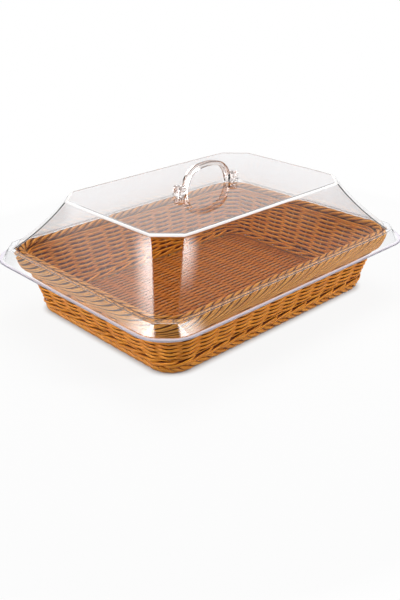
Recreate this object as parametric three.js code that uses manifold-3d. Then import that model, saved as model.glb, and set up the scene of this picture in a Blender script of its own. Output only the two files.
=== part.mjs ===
// Lidded bread basket: a woven basket on a welded wire frame, with a clear lift-off cover.
// Millimetres, +Z up, X along the long side. The origin is the middle of the footprint, on the table.

import * as THREE from 'three';
import { mergeVertices } from 'three/addons/utils/BufferGeometryUtils.js';
import Module from 'manifold-3d';

const wasm = await Module();
wasm.setup();

// Fits
const clearance = 0.3; // between pieces that touch or rest on each other

// Basket wall, measured on the middle of the weave
const footLength = 338;
const footWidth = 238;
const footCorner = 24;
const rimLength = 388;
const rimWidth = 284;
const rimCorner = 34;
const wallHeight = 78; // height at which the rim sizes hold

// Wire frame
const lengthwiseCount = 12; // stakes on each long side, the last one at each end of the straight
const crosswiseCount = 8;
const cornerSteps = 5; // straight pieces that a border or hoop takes round a corner
const stakeWire = 3;
const hoopWire = 3.2;
const crossWire = 2.4; // under the floor
const rimHoopHeight = 71.6;

// Weave
const strandThickness = 2.4;
const strandHeight = 2.35;
const rowPitch = 2.75;
const waleThickness = 2.9;
const waleHeight = 3.2;
const waleGap = 3.1; // open line between the wale and the first row

// Borders
const footBorderWidth = 8;
const footBorderHeight = 5.6;
const footLipHeight = 8.8; // outside the base hoop
const ropeDiameter = 8;
const bandThickness = 5.4;
const bandHeight = 21.4;
const bandRise = 2.1; // of its top edge above the middle of the rope

// Floor
const ridgePitch = 5.5;
const ridgeHeight = 1.1;
const floorThickness = 2.6;
const floorMargin = 1.2; // between the floor's edge and the inside of the weave

// Cover
const coverLength = 308; // flat top, corner to corner
const coverWidth = 200;
const coverTop = 146.5;
const coverThickness = 2.2;
const panelStraight = 0.58; // share of a side panel's flare that is straight, the rest hollow
const panelHollow = 2.6;
const panelSteps = 4;
const topCut = 25; // corner cut of the flat top
const lipCut = 27.5; // corner cut at the lip, where the corner is round
const topEdgeRadius = 8; // of the bend from the flat top into a side panel
const topCornerRadius = 6; // of the flat top's outline
const lipRadius = 46;
const coverPlay = 1.2; // room between the skirt and the rim band
const ledgeWidth = 6.2; // from the foot of a side panel to the skirt
const panelFootRise = 1.4; // how far above the ledge a side panel ends
const skirtDrop = 13;
const skirtFlare = 5.5;
const lipWidth = 6.5;

// Handle
const handleHeight = 32;
const legSpread = 36.5; // middle of a leg at its foot
const legLean = 1.2; // how far a leg leans in by the top of its boss
const shoulderSpread = 29; // where the bar turns over
const shoulderDrop = 9; // below the middle of the bar
const crownRise = 2; // rise of the bar from its shoulders to its middle
const barThickness = 5.6;
const barDepth = 9;
const bossDiameter = 14;
const bossHeight = 10.5;
const bossFootDiameter = 16.5;
const bossFootHeight = 2.4;
const bossBlend = 1.2; // how far a boss runs into its leg

// Fasteners
const screwDiameter = 3.2;
const screwReach = 7; // length inside the boss
const screwHeadDiameter = 7.6;
const screwHeadHeight = 2.4;
const washerDiameter = 10;
const washerThickness = 0.9;

// Heights that follow from the sizes above
const baseHoopHeight = footBorderHeight + clearance + hoopWire / 2;
const floorBottom = baseHoopHeight + crossWire / 2 + clearance;
const waleStart = baseHoopHeight + hoopWire / 2 + clearance + waleHeight / 2;
const walePitch = waleHeight + clearance * 4 / 3;
const rowStart = waleStart + walePitch + waleHeight / 2 + waleGap + strandHeight / 2;
const rowEnd = rimHoopHeight - hoopWire / 2 - clearance - strandHeight / 2;
const rowCount = Math.floor((rowEnd - rowStart) / rowPitch) + 1;
const ropeHeight = rimHoopHeight + (hoopWire + ropeDiameter) / 2 + clearance * 2; // its middle
const bandTop = ropeHeight + bandRise;
const bandBottom = bandTop - bandHeight;
const screwSpread = legSpread + (barThickness + bossDiameter) / 2 - bossBlend;

const finishes = {
  weave: { color: 0xc8833c, roughness: 0.55, metalness: 0 },
  border: { color: 0xd39a5c, roughness: 0.5, metalness: 0 },
  floor: { color: 0xa8703f, roughness: 0.6, metalness: 0 },
  wire: { color: 0x8a6a48, roughness: 0.5, metalness: 0.4 },
  clear: { color: 0xeef2f6, roughness: 0.06, metalness: 0, transparent: true, opacity: 0.3 },
  steel: { color: 0xb9bcc0, roughness: 0.3, metalness: 1 },
  washer: { color: 0xe8ebee, roughness: 0.35, metalness: 0 },
};

// Wall line

// Half length, half width and corner radius of the middle of the weave at a height.
function wallAt(z) {
  const share = z / wallHeight;
  return {
    a: THREE.MathUtils.lerp(footLength, rimLength, share) / 2,
    b: THREE.MathUtils.lerp(footWidth, rimWidth, share) / 2,
    r: THREE.MathUtils.lerp(footCorner, rimCorner, share),
  };
}

const wallLean = (rimLength - footLength) / 2 / wallHeight;

// Stations round the wall line: along each side at the given shares, then at turns round its corner.
function makeStations(shares, turns) {
  return [0, 1, 2, 3].flatMap((side) => [
    ...shares(side).map((along) => ({ side, along, turn: 0 })),
    ...turns.map((turn) => ({ side, along: 1, turn })),
  ]);
}

// Place of a station on the wall line at a height, moved outward by an offset.
function placeStation({ side, along, turn }, z, offset) {
  const { a, b, r } = wallAt(z);
  const quarter = side * Math.PI / 2;
  const half = side % 2 === 0 ? a : b;
  const reach = side % 2 === 0 ? b : a;
  const slide = THREE.MathUtils.lerp(-(half - r), half - r, along);
  const angle = turn * Math.PI / 2;
  const local = new THREE.Vector2(
    slide + Math.sin(angle) * (r + offset),
    -(reach - r) - Math.cos(angle) * (r + offset),
  );
  local.rotateAround(new THREE.Vector2(0, 0), quarter);
  return new THREE.Vector3(local.x, local.y, z);
}

const evenShares = (count) => Array.from({ length: count }, (_, i) => i / (count - 1));
const cornerTurns = evenShares(cornerSteps + 1).slice(1, -1);
const stakeCount = (side) => (side % 2 === 0 ? lengthwiseCount : crosswiseCount);
const stakeStations = makeStations((side) => evenShares(stakeCount(side)), [0.5]);
const borderStations = makeStations(() => [0, 1], cornerTurns);

// Mesh helpers

function indexed(positions, indices) {
  const geometry = new THREE.BufferGeometry();
  geometry.setAttribute('position', new THREE.Float32BufferAttribute(positions, 3));
  geometry.setIndex(indices);
  return geometry;
}

// A closed ring through sections that run from their outer side over the top to their inner side.
function ringGeometry(sections) {
  const count = sections[0].length;
  const positions = sections.flatMap((section) => section.flatMap((p) => [p.x, p.y, p.z]));
  const indices = [];
  sections.forEach((section, i) => {
    const here = i * count;
    const next = ((i + 1) % sections.length) * count;
    for (let k = 0; k < count; k += 1) {
      const l = (k + 1) % count;
      indices.push(here + k, next + k, here + l, here + l, next + k, next + l);
    }
  });
  return indexed(positions, indices);
}

// A closed body through loops that turn left about its run, capped at both ends with a fan.
function loftGeometry(loops) {
  const count = loops[0].length;
  const positions = loops.flatMap((loop) => loop.flatMap((p) => [p.x, p.y, p.z]));
  const indices = [];
  for (let i = 0; i + 1 < loops.length; i += 1) {
    for (let k = 0; k < count; k += 1) {
      const l = (k + 1) % count;
      const here = i * count;
      const next = here + count;
      indices.push(here + k, here + l, next + k, next + k, here + l, next + l);
    }
  }
  const capCentre = (loop) => {
    const centre = new THREE.Vector3();
    loop.forEach((p) => centre.add(p));
    centre.divideScalar(loop.length);
    positions.push(centre.x, centre.y, centre.z);
    return positions.length / 3 - 1;
  };
  const first = capCentre(loops[0]);
  const last = capCentre(loops[loops.length - 1]);
  const end = (loops.length - 1) * count;
  for (let k = 0; k < count; k += 1) {
    const l = (k + 1) % count;
    indices.push(first, l, k, last, end + k, end + l);
  }
  return indexed(positions, indices);
}

// Booleans

function toSolid(geometry) {
  const bare = geometry.clone();
  bare.deleteAttribute('normal');
  bare.deleteAttribute('uv');
  const merged = mergeVertices(bare, 1e-4);
  return new wasm.Manifold(new wasm.Mesh({
    numProp: 3,
    vertProperties: new Float32Array(merged.attributes.position.array),
    triVerts: new Uint32Array(merged.index.array),
  }));
}

function fromSolid(solid) {
  const { vertProperties, triVerts } = solid.getMesh();
  return indexed(Array.from(vertProperties), Array.from(triVerts));
}

const joined = (geometries) => fromSolid(geometries.map(toSolid).reduce((all, next) => all.add(next)));

// An upright cylinder from one height to another, with fewer sides on small ones.
function post(diameter, bottom, top, x, sides = 20) {
  const geometry = new THREE.CylinderGeometry(diameter / 2, diameter / 2, top - bottom, sides);
  geometry.rotateX(Math.PI / 2);
  geometry.translate(x, 0, (top + bottom) / 2);
  return geometry;
}

function named(name, geometry, finish) {
  const shaded = geometry.toNonIndexed();
  shaded.computeVertexNormals();
  const mesh = new THREE.Mesh(shaded, new THREE.MeshStandardMaterial(finishes[finish]));
  mesh.name = name;
  return mesh;
}

// Wire frame

// A wire hoop of diamond section on the wall line.
function hoop(z, wire) {
  const half = wire / 2;
  return ringGeometry(borderStations.map((station) => [
    placeStation(station, z, half),
    placeStation(station, z, 0).setZ(z + half),
    placeStation(station, z, -half),
    placeStation(station, z, 0).setZ(z - half),
  ]));
}

// A straight wire of diamond section between two points, one edge towards the strands that pass it.
function wire(from, to, size, across) {
  const half = size / 2;
  const along = to.clone().sub(from).normalize();
  const u = across.clone().normalize();
  const v = new THREE.Vector3().crossVectors(along, u).normalize();
  const section = (p) => [[1, 0], [0, 1], [-1, 0], [0, -1]].map(
    ([i, j]) => p.clone().addScaledVector(u, i * half).addScaledVector(v, j * half),
  );
  return loftGeometry([section(from), section(to)]);
}

function stakeFrame() {
  const pieces = [hoop(baseHoopHeight, hoopWire), hoop(rimHoopHeight, hoopWire)];
  const up = new THREE.Vector3(0, 0, 1);
  stakeStations.forEach((station) => {
    const foot = placeStation(station, baseHoopHeight, 0);
    const head = placeStation(station, rimHoopHeight, 0);
    const outward = placeStation(station, baseHoopHeight, 1).sub(foot);
    pieces.push(wire(foot, head, stakeWire, new THREE.Vector3().crossVectors(up, outward)));
  });
  stakeStations.filter(({ side, turn }) => side === 0 && turn === 0).forEach((station) => {
    const near = placeStation(station, baseHoopHeight, 0);
    const far = near.clone().setY(-near.y);
    pieces.push(wire(near, far, crossWire, new THREE.Vector3(1, 0, 0)));
  });
  return joined(pieces);
}

// Weave

// How far a corner stake, which leans two ways, moves out over half the height of a strand.
const leanOver = (height) => wallLean * Math.SQRT2 * height / 2;

// How far the middle of a strand stands off the stake it passes.
function passOffset(thickness, height) {
  return thickness / 2 + stakeWire / 2 + leanOver(height) + clearance;
}

// One strand round the basket, outside every other stake and inside the ones between.
function weaveRow(z, thickness, height, phase) {
  const pass = passOffset(thickness, height);
  return ringGeometry(stakeStations.map((station, i) => {
    const offset = (i + phase) % 2 === 0 ? pass : -pass;
    const corner = (out, up) => placeStation(station, z, offset + out * thickness / 2)
      .setZ(z + up * height / 2);
    return [corner(1, -1), corner(1, 1), corner(-1, 1), corner(-1, -1)];
  }));
}

const weaveHalf = passOffset(strandThickness, strandHeight) + strandThickness / 2;
const waleHalf = passOffset(waleThickness, waleHeight) + waleThickness / 2;
const bandInner = weaveHalf + leanOver(strandHeight) + clearance;

// Borders

// A ring with the given outline of [offset, height] points, swept round the wall line.
function borderRing(outline) {
  return ringGeometry(borderStations.map((station) => outline.map(
    ([offset, z]) => placeStation(station, z, offset),
  )));
}

// It lies under the base hoop, with a lip that covers the hoop from outside.
function footBorder() {
  const half = footBorderWidth / 2;
  const soft = footBorderHeight * 0.3;
  const lipInside = hoopWire / 2 + clearance * 2;
  return borderRing([
    [half - soft, 0],
    [half, soft],
    [half, footLipHeight - soft],
    [(half + lipInside) / 2, footLipHeight],
    [lipInside, footLipHeight],
    [lipInside, footBorderHeight],
    [-half + soft * 1.5, footBorderHeight],
    [-half, soft * 1.5],
    [-half + soft, 0],
  ]);
}

function rimRope() {
  const sides = 8;
  const outline = [];
  for (let k = 0; k < sides; k += 1) {
    const angle = k * 2 * Math.PI / sides;
    outline.push([Math.cos(angle) * ropeDiameter / 2, ropeHeight + Math.sin(angle) * ropeDiameter / 2]);
  }
  return ringGeometry(borderStations.map((station) => outline.map(
    ([offset, z]) => placeStation(station, ropeHeight, offset).setZ(z),
  )));
}

function rimBand() {
  const ropeSide = ropeDiameter / 2 + clearance;
  const height = bandTop - bandBottom;
  const outer = bandInner + bandThickness;
  return borderRing([
    [bandInner, bandBottom],
    [bandInner + bandThickness * 0.6, bandBottom],
    [outer, bandBottom + height * 0.25],
    [outer, bandBottom + height * 0.55],
    [outer - bandThickness * 0.3, bandTop - height * 0.16],
    [ropeSide + bandThickness * 0.45, bandTop],
    [ropeSide, bandTop],
    [ropeSide, rimHoopHeight + hoopWire],
    [bandInner, rimHoopHeight],
  ]);
}

// Floor

function floorWeave() {
  const { a, b, r } = wallAt(floorBottom);
  const inset = waleHalf + floorMargin;
  const halfX = a - inset;
  const halfY = b - inset;
  const ridges = Math.floor(halfY * 2 / ridgePitch);
  const edge = halfY - ridges * ridgePitch / 2;
  const top = floorBottom + floorThickness;
  const profile = new THREE.Shape();
  profile.moveTo(-halfY, floorBottom);
  profile.lineTo(halfY, floorBottom);
  profile.lineTo(halfY, top - ridgeHeight);
  for (let i = 0; i < ridges; i += 1) {
    const y = halfY - edge - (i + 0.5) * ridgePitch;
    profile.lineTo(y + ridgePitch * 0.26, top);
    profile.lineTo(y - ridgePitch * 0.26, top);
    profile.lineTo(y - ridgePitch / 2, top - ridgeHeight);
  }
  profile.lineTo(-halfY, top - ridgeHeight);
  const ribbed = new THREE.ExtrudeGeometry(profile, { depth: halfX * 2, bevelEnabled: false });
  ribbed.rotateX(Math.PI / 2);
  ribbed.rotateZ(Math.PI / 2);
  ribbed.translate(-halfX, 0, 0);
  const cut = Math.max(r - inset, 2);
  const plan = new THREE.Shape();
  plan.absarc(halfX - cut, halfY - cut, cut, 0, Math.PI / 2);
  plan.absarc(-halfX + cut, halfY - cut, cut, Math.PI / 2, Math.PI);
  plan.absarc(-halfX + cut, -halfY + cut, cut, Math.PI, Math.PI * 1.5);
  plan.absarc(halfX - cut, -halfY + cut, cut, Math.PI * 1.5, Math.PI * 2);
  const block = new THREE.ExtrudeGeometry(plan, {
    depth: floorThickness * 3,
    bevelEnabled: false,
    curveSegments: 5,
  });
  block.translate(0, 0, floorBottom - floorThickness);
  return fromSolid(toSolid(ribbed).intersect(toSolid(block)));
}

// Cover

// An eight-sided loop: half length a, half width b, corner cut c, its eight corners rounded.
function eightSided(a, b, c, radius, z) {
  const corners = [
    [a, -b + c], [a, b - c], [a - c, b], [-a + c, b],
    [-a, b - c], [-a, -b + c], [-a + c, -b], [a - c, -b],
  ];
  const steps = 3; // round each corner
  const setback = radius * Math.tan(Math.PI / 8);
  const loop = [];
  corners.forEach(([x, y], i) => {
    const here = new THREE.Vector2(x, y);
    const before = new THREE.Vector2(...corners[(i + 7) % 8]).sub(here).normalize();
    const after = new THREE.Vector2(...corners[(i + 1) % 8]).sub(here).normalize();
    const centre = here.clone()
      .addScaledVector(before.clone().add(after).normalize(), radius / Math.cos(Math.PI / 8));
    const start = here.clone().addScaledVector(before, setback).sub(centre).angle();
    for (let k = 0; k <= steps; k += 1) {
      const angle = start + k / steps * Math.PI / 4;
      loop.push(new THREE.Vector3(
        centre.x + radius * Math.cos(angle),
        centre.y + radius * Math.sin(angle),
        z,
      ));
    }
  });
  return loop;
}

// The side panels reach out over the rope, and the ledge lies on the band.
const ropeLine = wallAt(ropeHeight);
const panelReach = bandInner + bandThickness + coverPlay - ledgeWidth;
const ledgeTop = bandTop + clearance + coverThickness;
const lengthFlare = ropeLine.a + panelReach - coverLength / 2;
const widthFlare = ropeLine.b + panelReach - coverWidth / 2;

// Outside of the cover from the flat top to the lip, as run out past the top edge and height.
function coverProfile(flare) {
  const bends = [0, 34, 68].map((angle) => [
    topEdgeRadius * (Math.sin(angle * Math.PI / 180) - 0.18),
    coverTop - topEdgeRadius * (1 - Math.cos(angle * Math.PI / 180)),
  ]);
  const [panelStart, panelTop] = bends[2];
  const panelBottom = ledgeTop + panelFootRise;
  const points = [...bends];
  for (let i = 1; i <= panelSteps; i += 1) {
    const t = i / panelSteps;
    points.push([
      THREE.MathUtils.lerp(panelStart, flare, panelStraight * t + (1 - panelStraight) * t ** panelHollow),
      THREE.MathUtils.lerp(panelTop, panelBottom, t),
    ]);
  }
  const ledgeEnd = flare + ledgeWidth;
  const skirtEnd = ledgeEnd + skirtFlare;
  const lipTop = ledgeTop - skirtDrop;
  const upperSkirt = 0.35;
  points.push([flare + ledgeWidth * 0.3, ledgeTop]);
  points.push([ledgeEnd, ledgeTop]);
  points.push([ledgeEnd + skirtFlare * upperSkirt, ledgeTop - skirtDrop * upperSkirt]);
  points.push([skirtEnd, lipTop]);
  points.push([skirtEnd + lipWidth, lipTop]);
  return points.map(([out, z]) => new THREE.Vector2(out, z));
}

// The same line moved inward by the wall thickness, square to the line.
function insideOf(profile) {
  const inside = profile.map((p, i) => {
    const before = profile[Math.max(i - 1, 0)];
    const after = profile[Math.min(i + 1, profile.length - 1)];
    const along = after.clone().sub(before).normalize();
    return new THREE.Vector2(p.x + along.y * coverThickness, p.y - along.x * coverThickness);
  });
  inside[0].set(profile[0].x, coverTop - coverThickness);
  return inside;
}

function coverShell() {
  const lengthOutside = coverProfile(lengthFlare);
  const widthOutside = coverProfile(widthFlare);
  const lengthInside = insideOf(lengthOutside);
  const widthInside = insideOf(widthOutside);
  const lipReach = lengthOutside[lengthOutside.length - 1].x;
  const loopAt = (i, inner) => {
    const out = lengthOutside[i].x;
    const share = THREE.MathUtils.clamp(out / lipReach, 0, 1);
    const rimShare = THREE.MathUtils.clamp((out - lengthFlare) / (lipReach - lengthFlare), 0, 1);
    const long = inner ? lengthInside[i] : lengthOutside[i];
    const wide = inner ? widthInside[i] : widthOutside[i];
    const skin = Math.max(out - long.x, 0);
    const cut = THREE.MathUtils.lerp(topCut, lipCut, share) - skin * (2 - Math.SQRT2);
    const soft = THREE.MathUtils.lerp(topCornerRadius, lipRadius * 0.3, share);
    const radius = Math.max(THREE.MathUtils.lerp(soft, lipRadius, rimShare) - skin, 0.5);
    return eightSided(coverLength / 2 + long.x, coverWidth / 2 + wide.x, cut, radius, long.y);
  };
  const outsideLoops = lengthOutside.map((p, i) => loopAt(i, false));
  const insideLoops = lengthOutside.map((p, i) => loopAt(i, true));
  const shell = toSolid(loftGeometry([...insideLoops, ...outsideLoops.reverse()]));
  const hole = screwDiameter + clearance * 2;
  const holes = [-1, 1].map((side) => toSolid(
    post(hole, coverTop - coverThickness * 2, coverTop + coverThickness, side * screwSpread),
  ));
  return fromSolid(holes.reduce((body, drill) => body.subtract(drill), shell));
}

// Handle

const handleFoot = coverTop + clearance;

function handleArch() {
  const sides = [[1, 0.5], [0.5, 1], [-0.5, 1], [-1, 0.5], [-1, -0.5], [-0.5, -1], [0.5, -1], [1, -0.5]];
  const top = handleHeight - barThickness / 2;
  const turn = barThickness / 2;
  const half = [
    [legSpread, 0],
    [legSpread - legLean, bossHeight],
    [shoulderSpread + turn, top - shoulderDrop],
    [shoulderSpread - turn * 2, top - crownRise],
  ];
  const curve = new THREE.CatmullRomCurve3([
    ...half.map(([x, z]) => new THREE.Vector3(-x, 0, z)),
    new THREE.Vector3(0, 0, top),
    ...half.reverse().map(([x, z]) => new THREE.Vector3(x, 0, z)),
  ]);
  const steps = 18;
  const loops = [];
  for (let i = 0; i <= steps; i += 1) {
    const middle = curve.getPoint(i / steps);
    const along = i === 0 || i === steps
      ? new THREE.Vector3(0, 0, i === 0 ? 1 : -1)
      : curve.getTangent(i / steps);
    const normal = new THREE.Vector3(along.z, 0, -along.x);
    loops.push(sides.map(([u, v]) => new THREE.Vector3(
      middle.x + normal.x * u * barThickness / 2,
      v * barDepth / 2,
      handleFoot + middle.z + normal.z * u * barThickness / 2,
    )));
  }
  return loftGeometry(loops);
}

function handle() {
  let body = toSolid(handleArch());
  [-1, 1].forEach((side) => {
    const x = side * screwSpread;
    body = body.add(toSolid(post(bossDiameter, handleFoot, handleFoot + bossHeight, x)));
    body = body.add(toSolid(post(bossFootDiameter, handleFoot, handleFoot + bossFootHeight, x)));
    const bore = screwDiameter + clearance * 2;
    const boreTop = handleFoot + screwReach + clearance;
    body = body.subtract(toSolid(post(bore, handleFoot - clearance, boreTop, x, 12)));
  });
  return fromSolid(body);
}

// Fasteners

const washerTop = coverTop - coverThickness - clearance;
const screwSeat = washerTop - washerThickness - clearance;

function handleScrew(side) {
  const x = side * screwSpread;
  const head = post(screwHeadDiameter, screwSeat - screwHeadHeight, screwSeat, x, 16);
  const shank = post(screwDiameter, screwSeat - screwHeadHeight / 2, handleFoot + screwReach, x, 12);
  return joined([head, shank]);
}

function handleWasher(side) {
  const x = side * screwSpread;
  const hole = screwDiameter + clearance * 2;
  const disc = toSolid(post(washerDiameter, washerTop - washerThickness, washerTop, x));
  const drill = toSolid(post(hole, washerTop - washerThickness * 2, washerTop + washerThickness, x, 12));
  return fromSolid(disc.subtract(drill));
}

// Assembly

const basket = new THREE.Group();
basket.add(named('stake_frame', stakeFrame(), 'wire'));
basket.add(named('floor_weave', floorWeave(), 'floor'));
basket.add(named('foot_border', footBorder(), 'weave'));
basket.add(named('wale_lower', weaveRow(waleStart, waleThickness, waleHeight, 0), 'weave'));
basket.add(named('wale_upper', weaveRow(waleStart + walePitch, waleThickness, waleHeight, 1), 'weave'));
for (let row = 0; row < rowCount; row += 1) {
  const name = `weave_row_${String(row + 1).padStart(2, '0')}`;
  const z = rowStart + row * rowPitch;
  basket.add(named(name, weaveRow(z, strandThickness, strandHeight, row % 2), 'weave'));
}
basket.add(named('rim_rope', rimRope(), 'border'));
basket.add(named('rim_band', rimBand(), 'border'));

const cover = new THREE.Group();
cover.add(named('cover', coverShell(), 'clear'));
cover.add(named('handle', handle(), 'clear'));
cover.add(named('handle_screw_left', handleScrew(-1), 'steel'));
cover.add(named('handle_screw_right', handleScrew(1), 'steel'));
cover.add(named('handle_washer_left', handleWasher(-1), 'washer'));
cover.add(named('handle_washer_right', handleWasher(1), 'washer'));

const breadBasket = new THREE.Group();
breadBasket.add(basket, cover);

export default breadBasket;
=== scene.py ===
# Looks for the lidded bread basket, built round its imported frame.
# Sizes in the dictionaries are millimetres, but metres for stage, lamps and camera; +Z is up.
import math

import bpy
import numpy as np
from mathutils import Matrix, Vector


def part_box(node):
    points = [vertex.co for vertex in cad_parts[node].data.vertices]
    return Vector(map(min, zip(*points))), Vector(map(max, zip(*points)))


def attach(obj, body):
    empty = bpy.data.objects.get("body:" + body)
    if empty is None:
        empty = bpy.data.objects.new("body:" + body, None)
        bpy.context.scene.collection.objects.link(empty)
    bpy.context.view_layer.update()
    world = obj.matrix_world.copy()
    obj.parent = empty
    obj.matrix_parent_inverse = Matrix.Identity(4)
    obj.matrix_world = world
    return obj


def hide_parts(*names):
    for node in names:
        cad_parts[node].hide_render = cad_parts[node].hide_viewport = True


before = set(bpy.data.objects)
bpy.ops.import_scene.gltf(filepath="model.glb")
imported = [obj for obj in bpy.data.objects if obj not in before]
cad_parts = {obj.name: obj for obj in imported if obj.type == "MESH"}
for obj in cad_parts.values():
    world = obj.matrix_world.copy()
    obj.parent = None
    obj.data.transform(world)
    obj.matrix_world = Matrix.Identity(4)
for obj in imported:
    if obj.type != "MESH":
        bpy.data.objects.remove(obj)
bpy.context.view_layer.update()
print("frame:", len(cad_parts), "nodes")

mm = 0.001
draws = np.random.default_rng(41)


def boxOf(node):
    low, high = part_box(node)
    return np.array(low) / mm, np.array(high) / mm


def middleHeight(node):
    low, high = boxOf(node)
    return (low[2] + high[2]) / 2


# Puts a finished piece in the place of its nodes, on the body that carries it.
def settle(piece, nodes, body):
    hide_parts(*nodes)
    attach(piece, body)


# Shader trees

class Flow:
    # Wraps a socket, so that shader maths reads as plain expressions.
    def __init__(self, tree, socket=None):
        self.tree = tree
        self.socket = socket

    # Adds a node: its settings first, then the values or links of its sockets.
    def add(self, kind, sockets=None, output=0, **settings):
        node = self.tree.nodes.new("ShaderNode" + kind)
        for key, value in settings.items():
            if key == "stops":
                ramp = node.color_ramp.elements
                while len(ramp) < len(value):
                    ramp.new(0.5)
                for stop, (place, colour) in zip(ramp, value):
                    stop.position = place
                    stop.color = (*colour, 1)
            else:
                setattr(node, key, value)
        for key, value in (sockets or {}).items():
            if isinstance(value, Flow):
                self.tree.links.new(value.socket, node.inputs[key])
            else:
                node.inputs[key].default_value = value
        return Flow(self.tree, node.outputs[output]) if node.outputs else None

    def maths(self, operation, *values):
        return self.add("Math", dict(enumerate(values)), operation=operation)

    def __add__(self, other):
        return self.maths("ADD", self, other)

    def __radd__(self, other):
        return self.maths("ADD", other, self)

    def __sub__(self, other):
        return self.maths("SUBTRACT", self, other)

    def __rsub__(self, other):
        return self.maths("SUBTRACT", other, self)

    def __mul__(self, other):
        return self.maths("MULTIPLY", self, other)

    def __rmul__(self, other):
        return self.maths("MULTIPLY", other, self)

    def part(self, axis):
        return self.add("SeparateXYZ", {"Vector": self}, output=axis)

    # Goes from one colour to another as this value goes from 0 to 1.
    def mix(self, first, second):
        return self.add("Mix", {0: self, 6: first, 7: second}, output=2, data_type="RGBA")

    def ramp(self, stops):
        return self.add("ValToRGB", {"Fac": self}, stops=stops)

    def ease(self, low, high, first=0.0, last=1.0):
        sockets = {"Value": self, "From Min": low, "From Max": high, "To Min": first, "To Max": last}
        return self.add("MapRange", sockets, interpolation_type="SMOOTHSTEP")

    # Noise in the piece's own space.
    def noise(self, scale, detail):
        place = self.add("TexCoord", output="Object")
        return self.add("TexNoise", {"Vector": place, "Scale": scale, "Detail": detail})

    # Puts this shader on its material or world.
    def show(self, kind="Material"):
        self.add("Output" + kind, {"Surface": self})

    def ray(self, kind):
        return self.add("LightPath", output=f"Is {kind} Ray")


def newMaterial(name):
    material = bpy.data.materials.new(name)
    material.use_nodes = True
    material.node_tree.nodes.clear()
    return material, Flow(material.node_tree)


def rgba(colour):
    return (*colour, 1)


white = (1, 1, 1, 1)


# Meshes

up = np.array([0, 0, 1.0])


def circle(sides):
    return np.arange(sides) * 2 * math.pi / sides


def unit(vectors):
    return vectors / np.linalg.norm(vectors, axis=-1, keepdims=True)


# Distances from each point of a line to the next.
def stepsOf(line):
    return np.linalg.norm(np.diff(line, axis=0), axis=1)


# Running sum from 0.
def sums(values):
    return np.concatenate([[0], np.cumsum(values)])


# Rises softly from 0 to 1 with t.
def eased(t):
    t = np.clip(t, 0, 1)
    return t * t * (3 - 2 * t)


# The faces between rings of points that follow one another.
def wrap(rings, sides, closed=False):
    i, k = np.divmod(np.arange((rings if closed else rings - 1) * sides), sides)
    j, n = (i + 1) % rings, (k + 1) % sides
    return np.stack([i * sides + k, i * sides + n, j * sides + n, j * sides + k], 1)


def link(thing):
    bpy.context.scene.collection.objects.link(thing)
    return thing


def addPiece(name, points, faces, material, smooth=True, strand=None, tone=None):
    mesh = bpy.data.meshes.new(name)
    mesh.from_pydata((np.asarray(points) * mm).tolist(), [], faces)
    mesh.update()
    if strand is not None:
        layer = mesh.attributes.new("strand", "FLOAT_VECTOR", "CORNER")
        layer.data.foreach_set("vector", np.asarray(strand, np.float32).ravel())
    if tone is not None:
        layer = mesh.attributes.new("tone", "FLOAT", "FACE")
        layer.data.foreach_set("value", np.asarray(tone, np.float32).ravel())
    mesh.polygons.foreach_set("use_smooth", [smooth] * len(mesh.polygons))
    mesh.materials.append(material)
    return link(bpy.data.objects.new(name, mesh))


class Bundle:
    # Gathers the strands of one piece into a single mesh.
    def __init__(self):
        self.points, self.faces, self.strand, self.tone, self.count = [], [], [], [], 0

    # A strand along a path of points, its section square to the path.
    # outward points away from what it lies on; halfOut and halfAlong are the half sizes of its oval,
    # and tilt turns the oval in degrees. A strand with face 0 is painted in shade all over.
    def sweep(self, path, outward, halfOut, halfAlong, sides=10, closed=False, tone=0.5, tilt=0, face=1):
        count = len(path)
        halfOut = np.broadcast_to(halfOut, count)[:, None, None]
        halfAlong = np.broadcast_to(halfAlong, count)[:, None, None]
        if closed:
            run = np.roll(path, -1, 0) - np.roll(path, 1, 0)
        else:
            run = np.gradient(path, axis=0)
        run = unit(run)
        out = unit(outward - (outward * run).sum(1)[:, None] * run)
        across = np.cross(run, out)
        tilt = np.radians(np.broadcast_to(tilt, count))[:, None]
        out, across = (out * np.cos(tilt) + across * np.sin(tilt),
                       across * np.cos(tilt) - out * np.sin(tilt))
        turn = circle(sides)
        ring = (path[:, None] + halfOut * np.cos(turn)[None, :, None] * out[:, None]
                + halfAlong * np.sin(turn)[None, :, None] * across[:, None])
        steps = np.linalg.norm(np.diff(path, axis=0, append=path[:1]), axis=1)
        along = sums(steps)
        first = self.count
        self.points.append(ring.reshape(-1, 3))
        self.count += count * sides
        quads = wrap(count, sides, closed)[:, [0, 3, 2, 1]]
        self.faces.extend((quads + first).tolist())
        i, k = np.divmod(quads[:, 0], sides)
        n = (k + 1) % sides
        corner = np.stack([np.stack([along[step], face * np.cos(turn[side]), np.sin(turn[side])], 1)
                           for step, side in ((i, k), (i + 1, k), (i + 1, n), (i, n))], 1)
        self.strand.append(corner.reshape(-1, 3))
        self.tone.append(np.full(len(quads), tone))
        if not closed:
            for end, order in ((0, 1), (count - 1, -1)):
                cap = [first + end * sides + s for s in range(sides)][::order]
                self.faces.append(cap)
                # the caps have no outward part, so they are painted in shade
                self.strand.append(np.tile([along[end], 0, 0], (sides, 1)))
                self.tone.append(np.full(1, tone))

    # A strand that runs once or more round the wall and closes, moved outward from the wall line by out.
    def ring(self, u, z, out, halfOut, halfAlong, **rest):
        self.sweep(wallPoint(u, z, out), wallOutward(u, z), halfOut, halfAlong, closed=True, **rest)

    def piece(self, name, material):
        return addPiece(name, np.concatenate(self.points), self.faces, material,
                        strand=np.concatenate(self.strand), tone=np.concatenate(self.tone))


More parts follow.
